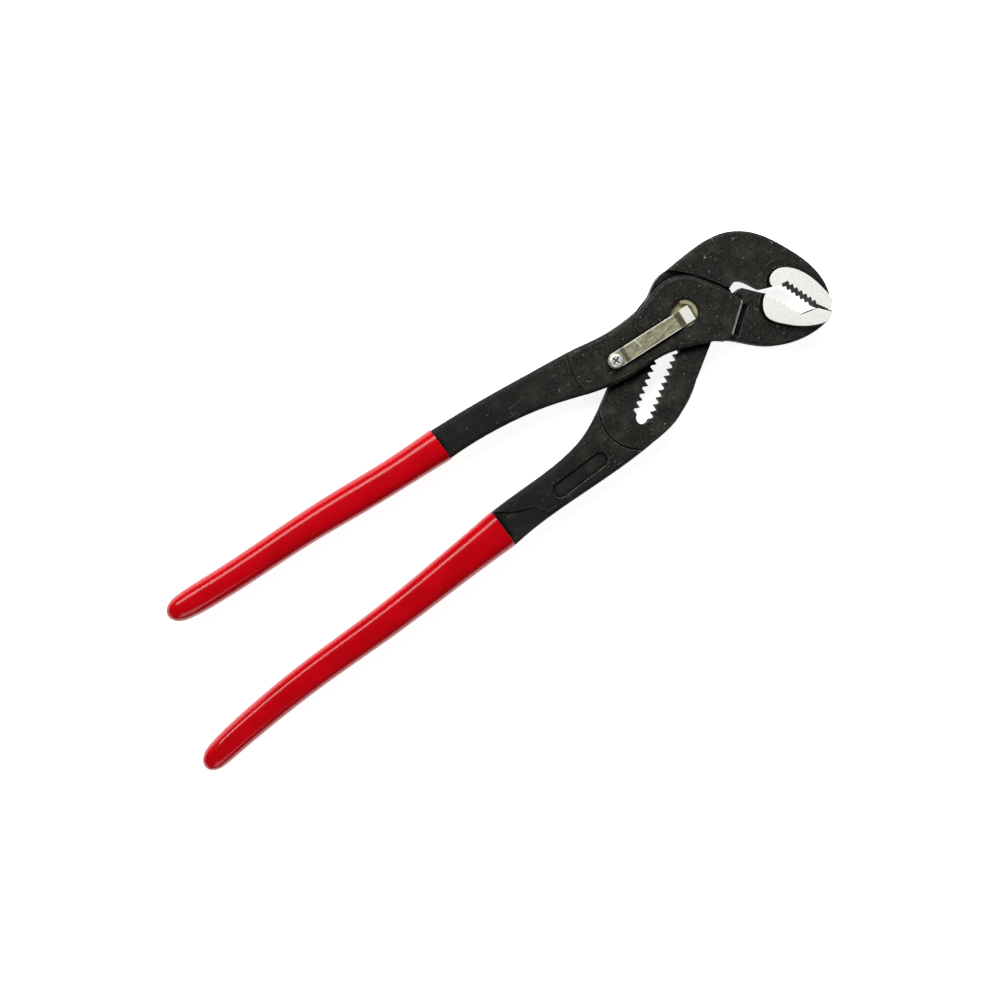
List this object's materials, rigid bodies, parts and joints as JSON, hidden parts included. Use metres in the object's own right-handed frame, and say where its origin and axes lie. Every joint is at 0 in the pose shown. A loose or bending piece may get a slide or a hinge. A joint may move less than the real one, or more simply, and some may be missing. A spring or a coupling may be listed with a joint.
{
  "type": "tongue and groove pliers",
  "caption": "Large adjustable water pump pliers with a push bolt in a toothed slot, curved toothed jaws and dipped handle grips.",
  "frame": {"origin": "the pivot's axis on the back face of the box joint, the face that the tool rests on", "axes": "+X to the jaws, +Y to the side of the box lever's handle, +Z along the pivot to the face with the leaf spring"},
  "size_m": [0.3072, 0.067, 0.0177],
  "materials": {
    "forged_steel": "black phosphated forging",
    "red_grip": "glossy dipped",
    "zinc_bolt": "yellow zinc",
    "spring_steel": "zinc plated",
    "screw_steel": "bright zinc",
    "bush_steel": "blackened"
  },
  "bodies": {
    "box_lever": {"box_lever": "forged_steel", "box_lever_grip": "red_grip", "spring_screw": "screw_steel"},
    "pivot_bush": {"pivot_bush": "bush_steel"},
    "slot_lever": {"slot_lever": "forged_steel", "slot_lever_grip": "red_grip"},
    "pivot_bolt": {"pivot_bolt": "zinc_bolt"},
    "leaf_spring": {"leaf_spring": "spring_steel"}
  },
  "joints": [
    {"name": "jaw_opening", "type": "hinge", "parent": "box_lever", "child": "pivot_bush", "pos_m": [0, 0, 0.0075], "axis": [0, 0, 1], "range_deg": [0, 32]},
    {"name": "slot_adjust", "type": "slide", "parent": "pivot_bush", "child": "slot_lever", "axis": [0.8462, 0.5329, 0], "range_m": [0, 0.018]},
    {"name": "bolt_release", "type": "slide", "parent": "pivot_bush", "child": "pivot_bolt", "axis": [0, 0, 1], "range_m": [0, 0.0036], "stiffness_N_per_m": 4800, "springref_m": -0.0015},
    {"name": "spring_flex", "type": "hinge", "parent": "box_lever", "child": "leaf_spring", "pos_m": [-0.0285, 0.00095, 0.0156], "axis": [-0.0724, -0.9974, 0], "range_deg": [0, 7.2], "deforming": ["leaf_spring"]}
  ],
  "couplings": [
    {"joint": "spring_flex", "follows": "bolt_release", "rad_per_m": 34.7}
  ]
}
